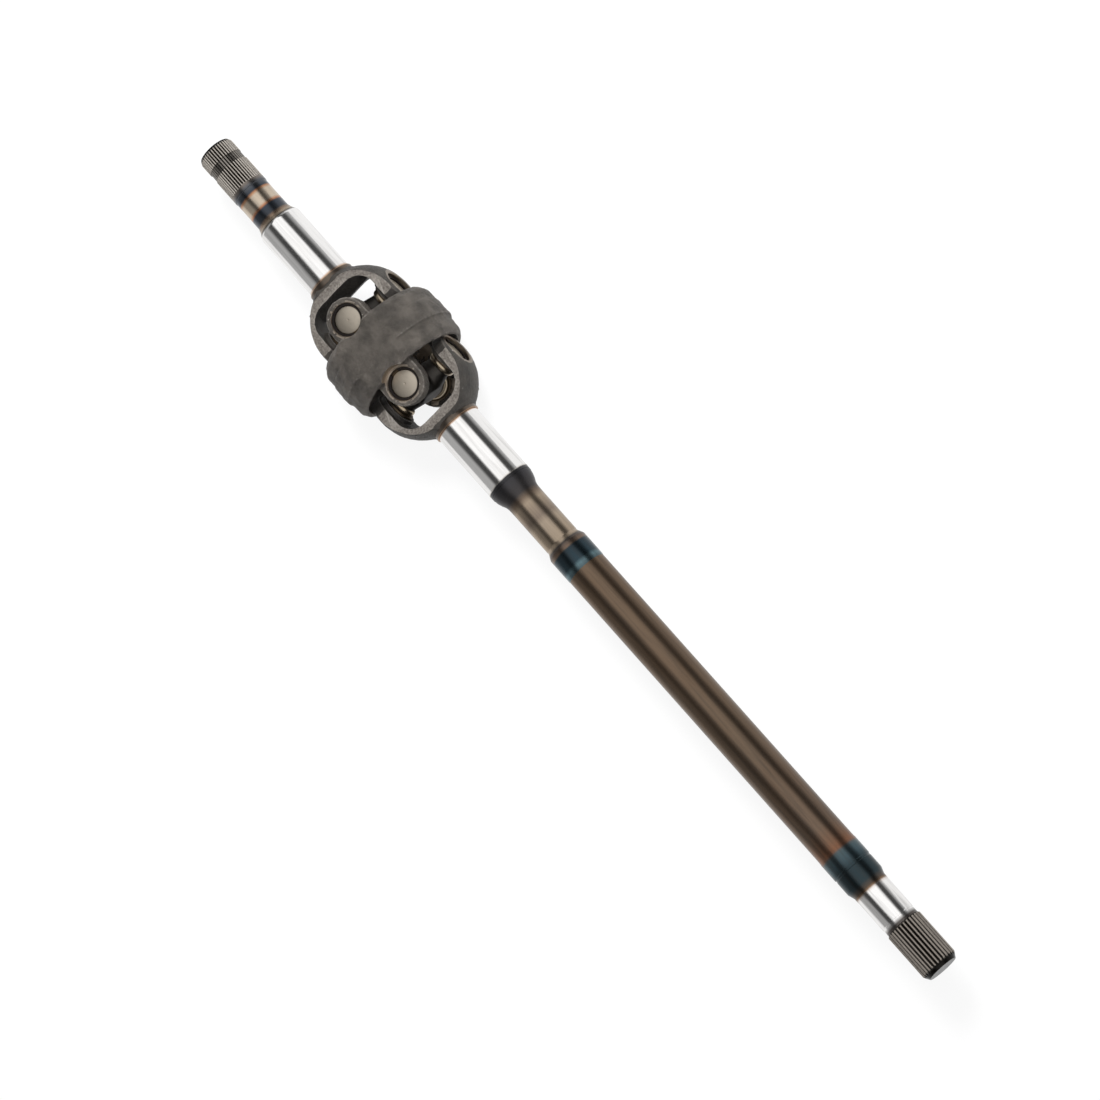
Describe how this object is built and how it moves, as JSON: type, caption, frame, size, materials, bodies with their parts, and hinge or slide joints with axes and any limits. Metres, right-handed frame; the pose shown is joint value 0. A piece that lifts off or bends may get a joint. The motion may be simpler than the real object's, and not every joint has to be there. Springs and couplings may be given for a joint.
{
  "type": "double universal joint axle shaft",
  "caption": "Steering-axle drive shaft: a long and a short splined shaft joined by a double universal joint with a ring-shaped centre body and two crosses.",
  "frame": {"origin": "centre of the double joint, midway between the two crosses, on the shafts' common axis", "axes": "+X along the long shaft to its splined inner end, +Y along the shaft yokes' ear bores, +Z along the centre body's ear bores"},
  "size_m": [1.1605, 0.1418, 0.126],
  "materials": {
    "machined_shaft": "forged yokes, turned and ground journals, induction-hardened tint",
    "forged_body": "rough forged with machined ear faces",
    "cross_steel": "forged with ground trunnions",
    "cup_steel": "turned",
    "spring_steel": "blackened",
    "shield_metal": "pressed, satin"
  },
  "bodies": {
    "long_half": {"long_shaft": "machined_shaft", "long_left_bearing_cup": "cup_steel", "long_left_circlip": "spring_steel", "long_right_bearing_cup": "cup_steel", "long_right_circlip": "spring_steel"},
    "inner_spider": {"inner_cross": "cross_steel", "long_left_shield": "shield_metal", "long_right_shield": "shield_metal", "body_inner_top_shield": "shield_metal", "body_inner_bottom_shield": "shield_metal"},
    "middle": {"centre_body": "forged_body", "body_outer_top_bearing_cup": "cup_steel", "body_outer_top_circlip": "spring_steel", "body_outer_bottom_bearing_cup": "cup_steel", "body_outer_bottom_circlip": "spring_steel", "body_inner_top_bearing_cup": "cup_steel", "body_inner_top_circlip": "spring_steel", "body_inner_bottom_bearing_cup": "cup_steel", "body_inner_bottom_circlip": "spring_steel"},
    "outer_spider": {"outer_cross": "cross_steel", "stub_left_shield": "shield_metal", "stub_right_shield": "shield_metal", "body_outer_top_shield": "shield_metal", "body_outer_bottom_shield": "shield_metal"},
    "stub_half": {"stub_shaft": "machined_shaft", "stub_left_bearing_cup": "cup_steel", "stub_left_circlip": "spring_steel", "stub_right_bearing_cup": "cup_steel", "stub_right_circlip": "spring_steel"}
  },
  "joints": [
    {"name": "long_yoke_pivot", "type": "hinge", "parent": "long_half", "child": "inner_spider", "pos_m": [0.046, 0, 0], "axis": [0, 1, 0], "range_deg": [-25, 25]},
    {"name": "inner_body_pivot", "type": "hinge", "parent": "inner_spider", "child": "middle", "pos_m": [0.046, 0, 0], "axis": [0, 0, 1], "range_deg": [-25, 25]},
    {"name": "outer_body_pivot", "type": "hinge", "parent": "middle", "child": "outer_spider", "pos_m": [-0.046, 0, 0], "axis": [0, 0, 1], "range_deg": [-25, 25]},
    {"name": "stub_yoke_pivot", "type": "hinge", "parent": "outer_spider", "child": "stub_half", "pos_m": [-0.046, 0, 0], "axis": [0, 1, 0], "range_deg": [-25, 25]}
  ]
}
